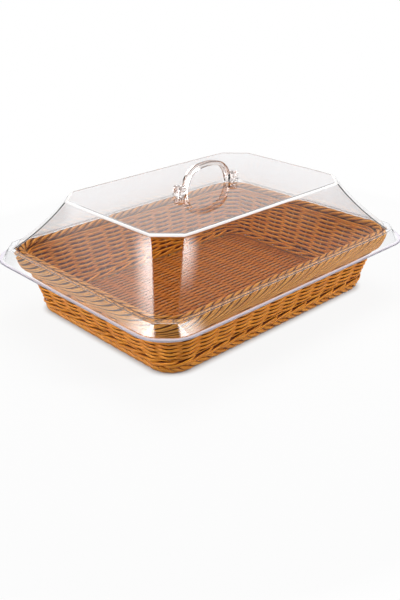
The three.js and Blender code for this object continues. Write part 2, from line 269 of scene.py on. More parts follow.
# A smooth curve through the points, evenly stepped along it.
def smoothPath(points, count):
    points = np.asarray(points, float)
    padded = np.concatenate([2 * points[:1] - points[1:2], points, 2 * points[-1:] - points[-2:-1]])

    def between(first, last, start, end, t):
        return ((end - t) * first + (t - start) * last) / (end - start)

    curve = []
    for i in range(len(points) - 1):
        p = padded[i:i + 4]
        knots = sums(np.sqrt(stepsOf(p)))
        for t in np.linspace(knots[1], knots[2], 24, endpoint=False):
            pairs = [between(p[k], p[k + 1], knots[k], knots[k + 1], t) for k in range(3)]
            halves = [between(pairs[k], pairs[k + 1], knots[k], knots[k + 2], t) for k in range(2)]
            curve.append(between(*halves, knots[1], knots[2], t))
    curve = np.array(curve + [points[-1]])
    reach = sums(stepsOf(curve))
    spots = np.linspace(0, reach[-1], count)
    return np.stack([np.interp(spots, reach, curve[:, axis]) for axis in range(2)], 1)


# Wall line

wall = {
    "footLength": 338, "footWidth": 238, "footCorner": 24,
    "rimLength": 388, "rimWidth": 284, "rimCorner": 34,
    "height": 78,
    "lengthwiseCount": 12, "crosswiseCount": 8,  # stakes along a side; each corner has one more
    "rimPitch": 28.9, "footPitch": 24.2,  # from stake to stake
}
sideCounts = [wall["lengthwiseCount"], wall["crosswiseCount"]] * 2
sideStarts = [0]
for sideCount in sideCounts:
    sideStarts.append(sideStarts[-1] + sideCount + 1)
stakeTotal = sideStarts.pop()


def wallSizes(z):
    share = np.asarray(z) / wall["height"]
    a = (wall["footLength"] + share * (wall["rimLength"] - wall["footLength"])) / 2
    b = (wall["footWidth"] + share * (wall["rimWidth"] - wall["footWidth"])) / 2
    r = wall["footCorner"] + share * (wall["rimCorner"] - wall["footCorner"])
    return a, b, r


# Points at u stakes round the wall, at height z and moved outward by out.
def wallPoint(u, z, out):
    u, z, out = (np.array(v, float) for v in np.broadcast_arrays(np.mod(u, stakeTotal), z, out))
    a, b, r = wallSizes(z)
    x, y = np.zeros(u.shape), np.zeros(u.shape)
    for side, count in enumerate(sideCounts):
        t = u - sideStarts[side]
        here = (t >= 0) & (t < count + 1)
        half, reach = (a, b) if side % 2 == 0 else (b, a)
        slide = (half - r) * (2 * np.clip(t / (count - 1), 0, 1) - 1)
        turn = np.clip((t - (count - 1)) / 2, 0, 1) * math.pi / 2
        localX = slide + np.sin(turn) * (r + out)
        localY = -(reach - r) - np.cos(turn) * (r + out)
        cos, sin = ((1, 0), (0, 1), (-1, 0), (0, -1))[side]
        x = np.where(here, cos * localX - sin * localY, x)
        y = np.where(here, sin * localX + cos * localY, y)
    return np.stack([x, y, z], -1)


def wallOutward(u, z):
    return wallPoint(u, z, 1.0) - wallPoint(u, z, 0.0)


# Places round the wall, so many to a stake.
def roundWall(perStake, rounds=1):
    return np.arange(rounds * stakeTotal * perStake) / perStake


# Away from the middle of a border at each point of its section, which is distance outward and height.
def sectionOutward(section, u, z):
    facing = np.gradient(section, axis=0)
    return wallOutward(u, z) * -facing[:, 1:] + up * facing[:, :1]


# Soft random swing along a strand, the same at both ends of the loop.
def sway(u, amount, waves=5):
    total = np.zeros(np.shape(u))
    for _ in range(waves):
        total += np.sin(2 * math.pi * draws.integers(2, 30) * u / stakeTotal + draws.uniform(0, 2 * math.pi))
    return total * amount / math.sqrt(waves)


# Materials

strandGrain = {
    # steps of noise per mm along, spread round the strand, detail, shift from strand to strand
    "streak": (0.07, 5.5, 4.0, 61.0), "fine": (0.22, 15.0, 3.0, 23.0), "patch": (0.045, 0.5, 2.0, 87.0),
    "shadeEdges": (0.36, 0.64), "crackEdges": (0.3, 0.42), "roughSpread": 0.14, "bumpDepth": 0.0004,
}


# A satin woven strand with streaks along it and painted shade down its two narrow sides.
# Tone, from 0 to 1, shifts each strand a little.
def strandMaterial(name, look):
    material, flow = newMaterial(name)
    strand = flow.add("Attribute", output=1, attribute_name="strand")
    tone = flow.add("Attribute", output=2, attribute_name="tone")
    along, cos, sin = strand.part(0), strand.part(1), strand.part(2)

    def grain(perMm, around, detail, shift):
        spot = flow.add("CombineXYZ", {
            0: along * perMm + tone * shift, 1: cos * around, 2: sin * around + tone * (shift * 0.7)})
        return flow.add("TexNoise", {
            "Vector": spot, "Scale": 1.0, "Detail": detail, "Roughness": 0.6})

    streak, fine, patch = (grain(*strandGrain[kind]) for kind in ("streak", "fine", "patch"))
    shade = (streak * 0.5 + fine * 0.22 + patch * 0.28).ease(*strandGrain["shadeEdges"])
    colour = shade.ramp([(0.0, look["dark"]), (0.45, look["middle"]), (1.0, look["light"])])
    paler = (tone * look["toneSpread"]).mix(colour, rgba(look["pale"]))
    cracks = fine.ease(*strandGrain["crackEdges"], look["crackDepth"], 0.0)
    worn = cracks.mix(paler, rgba(look["crack"]))
    # painted shade: where the strand's side turns away from its outward face, its colour goes to the shade
    # colour
    facing = flow.maths("ABSOLUTE", cos).ease(look["paintedShadeFrom"], look["paintedShadeTo"])
    final = facing.mix(rgba(look["paintedShade"]), worn)
    roughness = look["roughness"] + shade * strandGrain["roughSpread"]
    bump = flow.add("Bump", {
        "Strength": look["bump"], "Distance": strandGrain["bumpDepth"],
        "Height": streak * 0.6 + fine * 0.5})
    shader = flow.add("BsdfPrincipled", {
        "Base Color": final, "Roughness": roughness, "Normal": bump,
        "Specular IOR Level": look["specular"]})
    shader.show()
    return material


wallLook = {
    "dark": (0.44, 0.115, 0.008), "middle": (0.70, 0.225, 0.014), "light": (0.86, 0.35, 0.032),
    "pale": (0.86, 0.43, 0.09), "crack": (0.24, 0.06, 0.008), "crackDepth": 0.5,
    # the painted shade colour for the narrow sides of the strands, and where it begins and is full
    "paintedShade": (0.13, 0.026, 0.003), "paintedShadeFrom": 0.1, "paintedShadeTo": 0.66,
    "toneSpread": 0.2, "roughness": 0.35, "bump": 0.35, "specular": 0.26,
}
borderLook = dict(wallLook, middle=(0.68, 0.24, 0.024), light=(0.84, 0.38, 0.06), paintedShadeTo=0.6)
rimLook = dict(wallLook, dark=(0.37, 0.105, 0.012), middle=(0.54, 0.19, 0.025), light=(0.68, 0.29, 0.05),
               paintedShade=(0.10, 0.022, 0.003), paintedShadeFrom=0.08, paintedShadeTo=0.6)
floorLook = dict(wallLook, dark=(0.25, 0.055, 0.005), middle=(0.38, 0.098, 0.009),
                 light=(0.49, 0.16, 0.021), pale=(0.53, 0.21, 0.04), bump=0.25, paintedShade=(0.105, 0.02, 0.002),
                 paintedShadeTo=0.75, specular=0.24)
bandLook = dict(rimLook, dark=(0.49, 0.155, 0.018), middle=(0.69, 0.265, 0.032), light=(0.83, 0.39, 0.065),
                paintedShadeFrom=0.2, paintedShadeTo=0.8)

wallStrand = strandMaterial("wallStrand", wallLook)
borderStrand = strandMaterial("borderStrand", borderLook)
rimStrand = strandMaterial("rimStrand", rimLook)
bandStrand = strandMaterial("bandStrand", bandLook)
floorStrand = strandMaterial("floorStrand", floorLook)


# A plain surface with patches of a second colour; edges are where in the noise they begin and are full.
def patchy(name, look):
    material, flow = newMaterial(name)
    mottle = flow.noise(*look["noise"])
    patches = mottle.ease(*look["edges"]) if "edges" in look else mottle
    sockets = {"Base Color": patches.mix(rgba(look["colour"]), rgba(look["patch"])),
               "Metallic": look["metallic"], "Roughness": look["roughness"] + mottle * look["roughSpread"]}
    if "bump" in look:
        sockets["Normal"] = flow.add("Bump", {
            "Strength": look["bump"], "Distance": 0.0003, "Height": mottle})
    shader = flow.add("BsdfPrincipled", sockets)
    shader.show()
    return material


# Clear plastic that lets lamps and bounced light through unbent.
def clearPlastic(name, look):
    material, flow = newMaterial(name)
    film = flow.noise(look["hazeScale"], 4.0)
    roughness = film.ease(0.45, 0.75, look["polish"], look["polish"] + look["hazeSpread"])
    shader = flow.add("BsdfPrincipled", {
        "Base Color": rgba(look["tint"]), "Roughness": roughness,
        "IOR": 1.49, "Transmission Weight": look["clear"]})
    through = flow.add("BsdfTransparent", {"Color": rgba(look["through"])})
    inner = flow.add("MixShader", {0: flow.ray("Diffuse"), 1: shader, 2: through})
    outer = flow.add("MixShader", {0: flow.ray("Shadow"), 1: inner, 2: through})
    outer.show()
    return material


clearLook = {"tint": (0.985, 0.99, 1.0), "through": (0.97, 0.975, 0.98),
             "polish": 0.0, "hazeSpread": 0.006, "hazeScale": 30.0, "clear": 1.0}
coverPlastic = clearPlastic("coverPlastic", clearLook)
# The sheet is cloudier where it was cut or bent: at its edge and on its lip; the fold round the flat top is
# frosted white as a painted highlight.
edgePlastic = clearPlastic("edgePlastic", dict(
    clearLook, tint=(0.60, 0.56, 0.66), polish=0.3, hazeSpread=0.2, clear=0.5))
lipPlastic = clearPlastic("lipPlastic", dict(
    clearLook, tint=(0.78, 0.73, 0.81), polish=0.15, hazeSpread=0.1, clear=0.4))
paintedFoldHighlight = clearPlastic("paintedFoldHighlight", dict(
    clearLook, tint=(0.98, 0.97, 0.96), polish=0.2, hazeSpread=0.1, clear=0.3))
handlePlastic = clearPlastic("handlePlastic", dict(clearLook, tint=(0.80, 0.75, 0.73), hazeScale=90.0))

wireCoat = patchy("coatedWire", {
    "colour": (0.33, 0.16, 0.07), "patch": (0.45, 0.25, 0.12), "noise": (260.0, 3.0), "edges": (0.4, 0.65),
    "metallic": 0.0, "roughness": 0.4, "roughSpread": 0.15, "bump": 0.15})
steel = patchy("platedSteel", {
    "colour": (0.62, 0.62, 0.63), "patch": (0.42, 0.41, 0.4), "noise": (900.0, 3.0), "edges": (0.45, 0.7),
    "metallic": 1.0, "roughness": 0.2, "roughSpread": 0.2})
nylon = patchy("washerNylon", {
    "colour": (0.78, 0.79, 0.8), "patch": (0.68, 0.69, 0.7), "noise": (400.0, 2.0),
    "metallic": 0.0, "roughness": 0.35, "roughSpread": 0.1})
print("materials:", len(bpy.data.materials))


# Weave rows

weave = {
    "samples": 12,        # per stake
    "reach": 2.75,        # middle of a strand off the stakes it passes
    "thick": 1.5,         # half thickness
    "crossHeight": 1.5,   # half height where strands cross between stakes
    "outerHeight": 1.8,   # half height where a strand passes outside a stake
    "innerHeight": 2.15,  # and where it passes inside
    "bow": 1.2,           # over 1, a strand crosses the wall more gently
    "sway": 0.14, "outSway": 0.05, "sizeSway": 0.03,
    "coreDrop": 1.375, "coreThick": 0.5, "coreHeight": 1.5,
    "lastTurns": [69.9, 72.7],  # heights of two more turns on the inside, under the rope
    "lastOut": -2.2, "lastReach": 1.2, "lastThick": 1.3, "lastHeight": 1.7,
}


def weaveRow(name, row):
    u = roundWall(weave["samples"])
    swing = np.cos(math.pi * (u + row % 2))
    z = middleHeight(name) + rowSway
    out = weave["reach"] * np.sign(swing) * np.abs(swing) ** weave["bow"] + sway(u, weave["outSway"])
    bump = np.sqrt(np.abs(swing))
    full = np.where(swing > 0, weave["outerHeight"], weave["innerHeight"])
    high = weave["crossHeight"] + (full - weave["crossHeight"]) * bump + sway(u, weave["sizeSway"])
    thick = weave["thick"] + sway(u, weave["sizeSway"])
    bundle = Bundle()
    bundle.ring(u, z, out, thick, high, sides=14, tone=draws.uniform(0, 1))
    # a flat core strand that runs straight along under the row, in the middle of the wall, painted in shade
    # all over
    bundle.ring(u[::4], z[::4] - weave["coreDrop"], 0, weave["coreThick"], weave["coreHeight"],
                sides=8, face=0)
    if row == len(rowNodes) - 1:
        # they close the wall up to the rope, in front of the upper hoop
        for turn, z in enumerate(weave["lastTurns"]):
            out = weave["lastOut"] + weave["lastReach"] * np.cos(math.pi * (u + row + 1 + turn))
            bundle.ring(u, z, out, weave["lastThick"], weave["lastHeight"], tone=0.4)
    return bundle.piece("weaveStrand" + name[-2:], wallStrand)


rowNodes = sorted(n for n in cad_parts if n.startswith("weave_row_"))
rowSway = sway(roundWall(weave["samples"]), weave["sway"])
for row, node in enumerate(rowNodes):
    settle(weaveRow(node, row), [node], "basket")
print("weave rows:", len(rowNodes))


# Wale: three strands twined along the foot of the wall, each over two stakes and behind one.

wale = {"samples": 10, "reach": 3.8, "lift": 0.3, "rise": 2.6, "thick": 1.5, "high": 1.95,
        "highSway": 0.04, "innerSway": 0.05,
        # straight strands that close the inside: distance outward, height, half sizes, face (with face 0 a
        # strand is painted in shade all over)
        "inner": [(-2.5, 17.0, 1.2, 2.0, 1), (-2.3, 10.2, 1.2, 1.3, 1), (0, 13.1, 0.5, 1.8, 0),
                  (0, 16.6, 0.5, 1.6, 0), (1.4, 17.9, 0.8, 0.8, 1)]}


def waleStrands():
    z0 = (middleHeight("wale_lower") + middleHeight("wale_upper")) / 2
    u = roundWall(wale["samples"], rounds=3)
    phase = np.mod(u, 3)
    lean = np.cos(2 * math.pi * (phase - 2) / 3)
    out = wale["reach"] * (1 - 2 * eased((lean + 0.5) / 1.5))
    z = z0 + wale["lift"] + wale["rise"] * np.sin(2 * math.pi * (phase - 0.5) / 3)
    bundle = Bundle()
    bundle.ring(u, z, out, wale["thick"], wale["high"] + sway(u, wale["highSway"]), sides=12, tone=0.6)
    u = roundWall(6)
    for out, z, thick, high, face in wale["inner"]:
        bundle.ring(u, z + sway(u, wale["innerSway"]), out, thick, high, tone=0.4, face=face)
    return bundle.piece("waleStrands", wallStrand)


settle(waleStrands(), ["wale_lower", "wale_upper"], "basket")


# Foot border: strands that come out over the base hoop, lean back round it and tuck in below.

footBorder = {
    "perStake": 2, "pair": 0.06, "samples": 30,
    "slope": 0.36, "halfThick": 1.6, "halfWide": 2.2, "tilt": 16,
    # middle of a strand from above the hoop round to under it, as distance outward and height
    "section": [(-1.6, 5.6), (0.4, 6.9), (2.2, 7.6), (3.15, 6.3), (3.35, 4.6), (2.9, 2.7), (1.4, 1.55),
                (-0.6, 1.5), (-2.2, 2.2)],
}


def footBorderStrands():
    section = smoothPath(footBorder["section"], footBorder["samples"])
    step = stepsOf(section)
    run = sums(step) / footBorder["slope"] / wall["footPitch"]
    bundle = Bundle()
    for k in range(stakeTotal * footBorder["perStake"]):
        pair = footBorder["pair"] if k % 2 else -footBorder["pair"]
        u = (k + pair) / footBorder["perStake"] + run
        bundle.sweep(wallPoint(u, section[:, 1], section[:, 0]), sectionOutward(section, u, 4),
                     footBorder["halfThick"], footBorder["halfWide"], tone=draws.uniform(0, 1),
                     tilt=-footBorder["tilt"])
    return bundle.piece("footBorderStrands", borderStrand)


settle(footBorderStrands(), ["foot_border"], "basket")
print("foot border and wale done")


# Rim rope: three strands twisted, 88 turns of strand on show round the rim.

rope = {"leavesPerStake": 2, "spread": 1.95, "halfOut": 2.05, "halfAlong": 2.132, "samples": 16}


def ropeStrands():
    z0 = middleHeight("rim_rope")
    u = roundWall(rope["samples"], rounds=3)
    turn = 2 * math.pi * rope["leavesPerStake"] / 3 * u
    out, z = rope["spread"] * np.cos(turn), z0 + rope["spread"] * np.sin(turn)
    away = wallOutward(u, z0) * np.cos(turn)[:, None] + up * np.sin(turn)[:, None]
    bundle = Bundle()
    bundle.sweep(wallPoint(u, z, out), away, rope["halfOut"], rope["halfAlong"], sides=12, closed=True,
                 tone=0.55)
    return bundle.piece("rimRopeStrands", rimStrand)


settle(ropeStrands(), ["rim_rope"], "basket")


# Rim band: strands that come out under the rope and sweep down to run along the lower edge.

band = {
    "perStake": 4, "samples": 44,
    # slope of the strands at the top and lower down, and the share of the width where it changes
    "slopeTop": 0.48, "slopeBottom": 0.2, "slopeFrom": 0.3, "slopeOver": 0.5,
    "tilt": 8, "pair": 0.2,
    "startDraw": (-0.05, 0.05), "outDraw": (-0.25, 0.15), "widthDraw": (0.94, 1.06),
    "coreSway": 0.1, "seamSway": 0.06,
    "halfThick": 1.25, "cover": 0.98,  # strand width as a share of the spacing
    # middle of a strand from the seam to the lower edge, as distance outward and height
    "section": [(5.6, 75.4), (6.2, 78.3), (7.7, 78.2), (9.15, 75.2), (9.8, 70.5), (9.8, 65.5),
                (9.1, 61.6), (7.4, 59.9), (6.2, 61.0)],
    # strands that run along: a pale one, one painted in shade between band and rope, and ones painted in
    # shade inside the band
    "seamPlace": (5.5, 79.1), "seamHalf": 0.8,
    "groovePlace": (3.95, 79.8), "grooveHalf": 0.8,
    "core": [(3.9, 76.8), (6.8, 63.2), (7.2, 67.0), (7.3, 70.8), (6.9, 74.6)], "coreHalf": (1.3, 2.0),
}


def bandStrands():
    count = band["samples"]
    section = smoothPath(band["section"], count)
    step = stepsOf(section)
    share = (np.cumsum(step) - step / 2) / step.sum()
    change = eased((share - band["slopeFrom"]) / band["slopeOver"])
    slope = band["slopeTop"] + (band["slopeBottom"] - band["slopeTop"]) * change
    run = sums(step / slope)
    spacing = wall["rimPitch"] / band["perStake"] * np.sin(np.arctan(slope))
    halfWide = np.concatenate([spacing[:1], spacing]) * band["cover"] / 2
    bundle = Bundle()
    for k in range(stakeTotal * band["perStake"]):
        pair = band["pair"] if k % 2 else -band["pair"]
        start = (k + pair + draws.uniform(*band["startDraw"])) / band["perStake"]
        u = start - run / wall["rimPitch"]
        out, z = section[:, 0] + draws.uniform(*band["outDraw"]), section[:, 1]
        bundle.sweep(wallPoint(u, z, out), sectionOutward(section, u, 70),
                     band["halfThick"], halfWide * draws.uniform(*band["widthDraw"]),
                     tone=draws.uniform(0, 1), tilt=band["tilt"])
    u = roundWall(6)
    # the core strands and the groove strand are painted in shade all over
    for out, z in band["core"]:
        bundle.ring(u, z + sway(u, band["coreSway"]), out, *band["coreHalf"], sides=8, face=0)
    out, z = band["groovePlace"]
    bundle.ring(u, z, out, band["grooveHalf"], band["grooveHalf"], sides=8, face=0)
    out, z = band["seamPlace"]
    bundle.ring(u, z + sway(u, band["seamSway"]), out, band["seamHalf"], band["seamHalf"], tone=1.0)
    return bundle.piece("rimBandStrands", bandStrand)


settle(bandStrands(), ["rim_band"], "basket")
print("rim done")


# Floor: strands along the basket, over and under the cross wires.

# half thicknesses of the wires, and heights of the hoops
wires = {"stake": 1.5, "hoop": 1.6, "cross": 1.2, "baseHeight": 7.5, "rimHeight": 71.6}
floor = {"pitch": 3.46, "count": 67, "halfThick": 1.2, "halfWide": 1.76, "lift": 0.35,
              "swing": 0.8, "bow": 0.8, "aside": (-0.08, 0.08),
              "between": 0.93, "overWire": 0.1,  # share of the width between wires, and what a wire adds
              "perWire": 12, "endGap": 2.3, "endFade": 9}


def floorStrands():
    hoopZ = wires["baseHeight"]
    a, b, r = wallSizes(hoopZ)
    stakeX = (a - r) * np.linspace(-1, 1, wall["lengthwiseCount"])
    wirePitch = stakeX[1] - stakeX[0]
    bundle = Bundle()
    for k in range(floor["count"]):
        y = (k - (floor["count"] - 1) / 2) * floor["pitch"]
        past = max(abs(y) - (b - r), 0)
        end = a - r + math.sqrt(max(r * r - past * past, 0)) - floor["endGap"]
        count = int(2 * end / wirePitch * floor["perWire"])
        x = np.linspace(-end, end, count)
        swing = np.cos(math.pi * ((x - stakeX[0]) / wirePitch + k % 2))
        fade = eased((end - np.abs(x)) / floor["endFade"])
        bow = np.sign(swing) * np.abs(swing) ** floor["bow"]
        z = hoopZ + floor["lift"] + floor["swing"] * bow * fade
        path = np.stack([x, np.full(count, y) + draws.uniform(*floor["aside"]), z], 1)
        halfWide = floor["halfWide"] * (floor["between"] + floor["overWire"] * np.abs(swing))
        bundle.sweep(path, up, floor["halfThick"], halfWide, tone=draws.uniform(0, 1))
    return bundle.piece("floorStrands", floorStrand)


# Wire frame: two hoops, the stakes between them and the cross wires.

def frameWires():
    base, rim = wires["baseHeight"], wires["rimHeight"]
    bundle = Bundle()
    for z in (base, rim):
        bundle.ring(roundWall(6), z, 0, wires["hoop"], wires["hoop"], sides=12)
    for stake in range(stakeTotal):
        path = wallPoint(float(stake), np.linspace(base, rim, 9), 0)
        bundle.sweep(path, wallOutward(float(stake), 40.0), wires["stake"], wires["stake"], sides=12)
    for stake in range(wall["lengthwiseCount"]):
        near = wallPoint(float(stake), base, 0)
        path = np.linspace(near, near * (1, -1, 1), 13)
        bundle.sweep(path, up, wires["cross"], wires["cross"])
    return bundle.piece("frameWires", wireCoat)


settle(floorStrands(), ["floor_weave"], "basket")
settle(frameWires(), ["stake_frame"], "basket")
print("floor and wire frame done")


# Cover

cover = {
    "length": 308, "width": 200, "top": 146.5, "thickness": 2.2,
    "rimGap": 0.5,  # between the ledge and the band it lies on
    # length cut off each corner, by height
    "cuts": [(69, 27), (77, 20.5), (84, 19.5), (146.5, 27)],
    "cornerRadius": 3.5, "lipRadius": 42, "lipStart": 3.0,
    "softness": 30, "sag": 2.0,  # the side panels curve in a little towards the folds
    "sagTop": 0.25, "sagDepth": 14,  # share of the sag at the flat top, and how far down it is full
    "edgeRadius": 6.5, "edgeInset": 1.17, "edgeTurn": 68,
    "flatLoops": (9.0, 0.5),  # two loops on the flat top, this far inside its bend
    "straight": 0.8, "hollow": 2.6, "footRise": 0.3,
    "shoulderOut": 12.165,  # from the wall line at the rope's height
    "ledgeWidth": 5.2, "footRadius": 2.0, "shoulderRadius": 3.4,
    "skirtDrop": 13, "skirtFlare": 8.0, "skirtRadius": 1.2, "lipWidth": 4.0,
    "cornerSteps": 6, "softSteps": 5, "panelSteps": 24, "bendSteps": 7,
    "foldFrom": 4, "foldTo": 9,  # the part of the top bend frosted white as a painted highlight
    "sharpFrom": 30,  # in degrees
}


# The points with every corner that has a radius rounded by an arc.
def rounded(points, radii):
    points = np.asarray(points, float)
    line = [points[0]]
    for i in range(1, len(points) - 1):
        here, radius = points[i], radii[i]
        if not radius:
            line.append(here)
            continue
        before, after = unit(points[i - 1] - here), unit(points[i + 1] - here)
        half = unit(before + after)
        angle = math.acos(np.dot(before, half))
        centre = here + half * radius / math.sin(angle)
        first = here + before * radius / math.tan(angle) - centre
        last = here + after * radius / math.tan(angle) - centre
        for t in np.linspace(0, 1, cover["bendSteps"]):
            spoke = first * (1 - t) + last * t
            line.append(centre + unit(spoke) * radius)
    return np.array(line + [points[-1]])


# Outside of the cover from its flat top to the lip, as distance out past the top edge and height.
def coverLine(flare):
    c = cover
    ledgeTop = boxOf("rim_band")[1][2] + c["rimGap"] + c["thickness"]
    turn = np.radians(np.linspace(0, c["edgeTurn"], 11))
    edge = np.stack([c["edgeRadius"] * np.sin(turn) - c["edgeInset"],
                     c["top"] - c["edgeRadius"] * (1 - np.cos(turn))], 1)
    start, panelTop = edge[-1]
    t = np.linspace(0, 1, c["panelSteps"])[1:]
    panel = np.stack([start + (flare - start) * (c["straight"] * t + (1 - c["straight"]) * t ** c["hollow"]),
                      panelTop + (ledgeTop + c["footRise"] - panelTop) * t], 1)
    slope = (panel[-1] - panel[-2]) / (panel[-2][1] - panel[-1][1])
    panel = panel[:-1]
    foot = [panel[-1][0] + slope[0] * (panel[-1][1] - ledgeTop), ledgeTop]
    shoulder = [flare + c["ledgeWidth"], ledgeTop]
    bend = [shoulder[0] + c["skirtFlare"], ledgeTop - c["skirtDrop"]]
    lip = [bend[0] + c["lipWidth"] - c["thickness"] / 2, bend[1]]
    lower = rounded([panel[-1], foot, shoulder, bend, lip],
                    [0, c["footRadius"], c["shoulderRadius"], c["skirtRadius"], 0])
    flat = np.array([[edge[0][0] - inside, c["top"]] for inside in c["flatLoops"]])
    return np.concatenate([flat, edge, panel[:-1], lower])


# The same line moved inward by the thickness of the sheet.
def insideLine(line):
    run = unit(np.gradient(line, axis=0))
    return line + np.stack([run[:, 1], -run[:, 0]], 1) * cover["thickness"]


# An eight-sided loop; its long sides curve in by sag over the last stretch before each fold.
def eightSided(a, b, cut, radius, z, sag=0):
    corners = np.array([[a, -b + cut], [a, b - cut], [a - cut, b], [-a + cut, b],
                        [-a, b - cut], [-a, -b + cut], [-a + cut, -b], [a - cut, -b]])
    setback = radius * math.tan(math.pi / 8)
    soft = cover["softness"]
    loop = []
    for i, here in enumerate(corners):
        before, after = unit(corners[i - 1] - here), unit(corners[(i + 1) % 8] - here)
        centre = here + unit(before + after) * radius / math.cos(math.pi / 8)
        edge = here + before * setback - centre
        start = math.atan2(edge[1], edge[0])
        arc = []
        for k in range(cover["cornerSteps"] + 1):
            turn = start + k / cover["cornerSteps"] * math.pi / 4
            arc.append([centre[0] + radius * math.cos(turn), centre[1] + radius * math.sin(turn)])
        panelSide, panelEnd = (after, arc[-1]) if i % 2 == 0 else (before, arc[0])
        inward = -np.sign(here) * ((1, 0) if abs(panelSide[0]) < 0.5 else (0, 1))
        bulge = [np.array(panelEnd) + panelSide * soft * t + inward * sag * (1 - t) ** 2
                 for t in np.linspace(0, 1, cover["softSteps"] + 1)[1:]]
        # the fold itself moves in along the corner's middle
        arc = [np.array(p) + inward * sag for p in arc]
        run = arc + bulge if i % 2 == 0 else bulge[::-1] + arc
        loop += [[x, y, z] for x, y in run]
    return np.array(loop)


def clamped(value):
    return min(max(value, 0.0), 1.0)


# Loops round the cover for the lines of its long and wide sections; longOuter is the outside of the long one.
def coverLoops(longLine, wideLine, longOuter, lengthFlare):
    loops = []
    reach = longOuter[-1][0]
    heights, cuts = zip(*cover["cuts"])
    for (longOut, z), (wideOut, _), (out, outerZ) in zip(longLine, wideLine, longOuter):
        rimShare = clamped((out - lengthFlare) / (reach - lengthFlare))
        skin = max(out - longOut, 0)
        cut = np.interp(outerZ, heights, cuts) - skin * (2 - math.sqrt(2))
        radius = max(cover["cornerRadius"]
                     + (cover["lipRadius"] - cover["cornerRadius"]) * rimShare ** cover["lipStart"]
                     - skin, 0.5)
        down = clamped((cover["top"] - outerZ) / cover["sagDepth"])
        sag = cover["sag"] * (cover["sagTop"] + (1 - cover["sagTop"]) * down) * (1 - rimShare ** 3)
        a, b = cover["length"] / 2 + longOut, cover["width"] / 2 + wideOut
        loops.append(eightSided(a, b, cut, radius, z, sag))
    return loops


def coverShell():
    a, b, _ = wallSizes(middleHeight("rim_rope"))
    reach = cover["shoulderOut"] - cover["ledgeWidth"]
    lengthFlare = a + reach - cover["length"] / 2
    widthFlare = b + reach - cover["width"] / 2
    longOuter, wideOuter = coverLine(lengthFlare), coverLine(widthFlare)
    longInner, wideInner = insideLine(longOuter), insideLine(wideOuter)
    outside = coverLoops(longOuter, wideOuter, longOuter, lengthFlare)
    inside = coverLoops(longInner, wideInner, longOuter, lengthFlare)
    half = cover["thickness"] / 2
    rounding = []
    for turn in np.radians([60, 30, 0, -30, -60]):
        edge = [[half * math.cos(turn), -half + half * math.sin(turn)]]
        rounding += coverLoops(longOuter[-1:] + edge, wideOuter[-1:] + edge, longOuter[-1:], lengthFlare)
    loops = outside + rounding + inside[::-1]
    size = len(loops[0])
    points = np.concatenate(loops)
    faces = wrap(len(loops), size)[:, [1, 0, 3, 2]].tolist()
    faces.append(list(range(size)))
    faces.append([(len(loops) - 1) * size + k for k in range(size)][::-1])
    piece = addPiece("clearCover", points, faces, coverPlastic)
    lipEnd = len(outside) - 1
    plastics = ((edgePlastic, lipEnd, lipEnd + len(rounding)), (lipPlastic, lipEnd - 1, lipEnd),
                (paintedFoldHighlight, cover["foldFrom"], cover["foldTo"]))
    for index, (plastic, first, last) in enumerate(plastics, 1):
        piece.data.materials.append(plastic)
        for face in range(first * size, last * size):
            piece.data.polygons[face].material_index = index
    return piece


# Applies the modifiers of a piece and keeps the result as its mesh.
def bakeModifiers(piece):
    graph = bpy.context.evaluated_depsgraph_get()
    mesh = bpy.data.meshes.new_from_object(piece.evaluated_get(graph))
    piece.modifiers.clear()
    piece.data = mesh
    return piece


def booleans(piece, tools, operation):
    for tool in tools:
        change = piece.modifiers.new("cut", "BOOLEAN")
        change.operation, change.solver, change.object = operation, "EXACT", tool
    bpy.context.view_layer.update()
    bakeModifiers(piece)
    for tool in tools:
        bpy.data.objects.remove(tool)
    return piece


# Rings of points about an upright axis at x, for points of radius and height.
def turnedRings(profile, x, sides):
    cos, sin = np.cos(circle(sides)), np.sin(circle(sides))
    return np.concatenate([np.stack([x + r * cos, r * sin, np.full(sides, z)], 1) for r, z in profile])


# A turned body about an upright axis, through points of radius and height from the axis back to it.
def turned(name, profile, x, material, sides=48):
    points = turnedRings(profile[1:-1], x, sides)
    count, last = len(points), len(points) - sides
    points = np.concatenate([points, [[x, 0, profile[0][1]], [x, 0, profile[-1][1]]]])
    faces = wrap(count // sides, sides).tolist()
    for k in range(sides):
        n = (k + 1) % sides
        faces += [[count, n, k], [count + 1, last + k, last + n]]
    return addPiece(name, points, faces, material)


def sharpen(piece, degrees):
    piece.data.polygons.foreach_set("use_smooth", [True] * len(piece.data.polygons))
    piece.data.set_sharp_from_angle(angle=math.radians(degrees))
    return piece


# Handle

handle = {
    "foot": 146.8, "height": 29.2, "thick": 5.6, "deep": 9.0,
    # middle of the bar from one foot up to the crown
    "half": [(36.5, 0), (35.0, 9.6), (30.2, 18.9), (20.8, 26.1)],
    "squareness": 0.42,  # 1 is a plain oval bar, 0 a square one
    "bossX": 45.1, "bossRadius": 7, "bossHeight": 10.5, "plateRadius": 8.25, "plateHeight": 2.4,
    "bossRound": 1.1, "plateRound": 0.55, "plateFoot": 0.5, "neck": (0.35, 0.4),
    "boreRadius": 1.9, "boreHeight": 7.3, "boreTip": 0.6, "sharpFrom": 38,
}
fastener = {
    "shank": 1.5, "threadRoot": 1.38, "threadCrest": 1.6, "threadPitch": 0.9, "threadFrom": 0.3,
    "headRadius": 3.8, "headHeight": 2.4, "headEdge": 0.15,
    "dome": [(0.5, 0.06), (0.82, 0.45), (0.97, 1.1), (1, 1.6)],  # share of the head's radius, and height
    "point": [(1.4, 0.45), (0.95, 0.02)],  # radius, and distance from the tip
    "washerRadius": 5, "washerHoleRadius": 1.9, "washerEdge": 0.2,
    "slotLong": 4.4, "slotWide": 1.0, "slotDeep": 1.1, "sharpFrom": 35,
}


